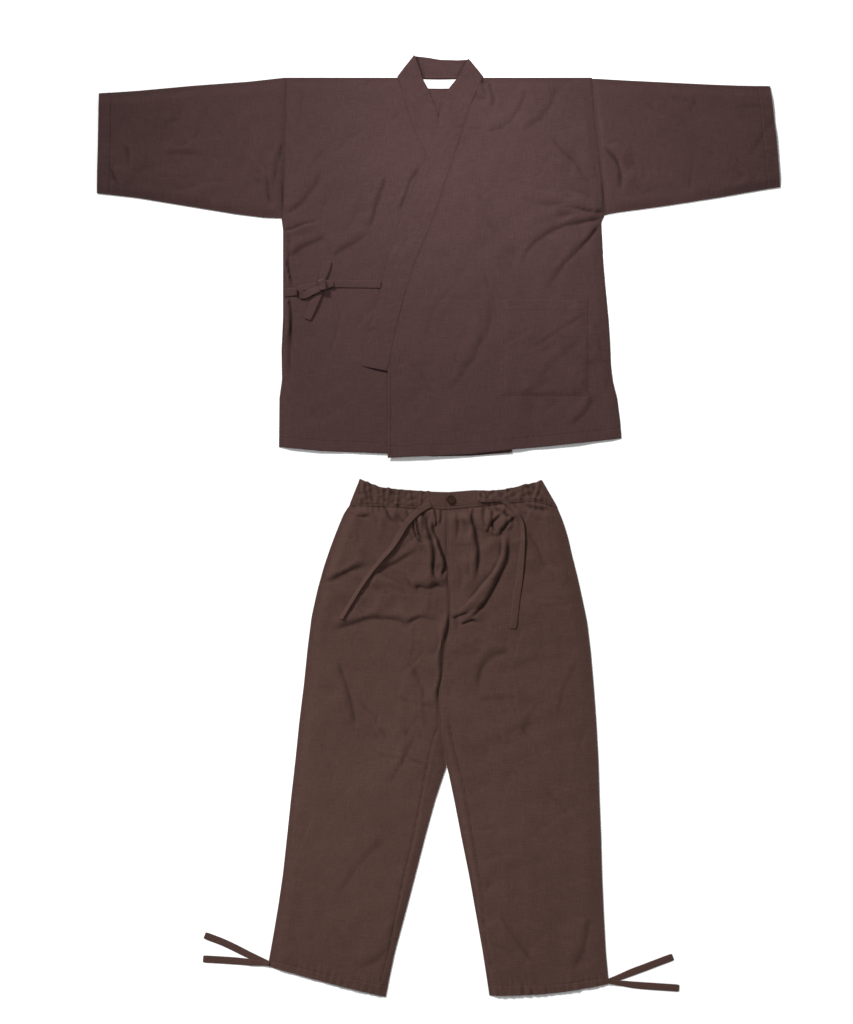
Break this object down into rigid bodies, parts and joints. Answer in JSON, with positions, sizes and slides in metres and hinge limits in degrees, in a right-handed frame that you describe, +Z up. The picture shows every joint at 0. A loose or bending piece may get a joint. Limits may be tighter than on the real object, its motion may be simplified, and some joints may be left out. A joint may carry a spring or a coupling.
{
  "type": "samue set",
  "caption": "Brown cotton samue set laid flat: a wrapped jacket tied with a bow at the side, above elastic-waist trousers with ties at the waist and ankles.",
  "frame": {"origin": "middle of the set's bounding box, on the surface that it lies on", "axes": "+X to the viewer's right, which is the wearer's left; +Y from the trouser hems to the collar; +Z up from the surface, towards the viewer"},
  "size_m": [1.332, 1.834, 0.0108],
  "materials": {
    "jacket_cloth": "matt plain-weave cotton",
    "trouser_cloth": "matt plain-weave cotton",
    "label_cloth": "smooth woven tape, bare",
    "button_resin": "satin dark brown resin"
  },
  "bodies": {
    "root": {"back": "jacket_cloth", "front_right": "jacket_cloth", "front_left": "jacket_cloth", "sleeve_right": "jacket_cloth", "sleeve_left": "jacket_cloth", "collar_band_right": "jacket_cloth", "collar_band_left": "jacket_cloth", "collar_band_back": "jacket_cloth", "neck_label": "label_cloth", "pocket": "jacket_cloth", "jacket_tie_left": "jacket_cloth", "jacket_tie_right": "jacket_cloth", "bow_tail_upper": "jacket_cloth", "bow_tail_lower": "jacket_cloth", "bow_loop_right": "jacket_cloth", "bow_knot": "jacket_cloth", "leg_right": "trouser_cloth", "leg_left": "trouser_cloth", "waistband": "trouser_cloth", "button": "button_resin", "waist_tie_right": "trouser_cloth", "waist_tie_left": "trouser_cloth", "right_leg_tie_upper": "trouser_cloth", "right_leg_tie_lower": "trouser_cloth", "left_leg_tie_upper": "trouser_cloth", "left_leg_tie_lower": "trouser_cloth"}
  },
  "joints": []
}
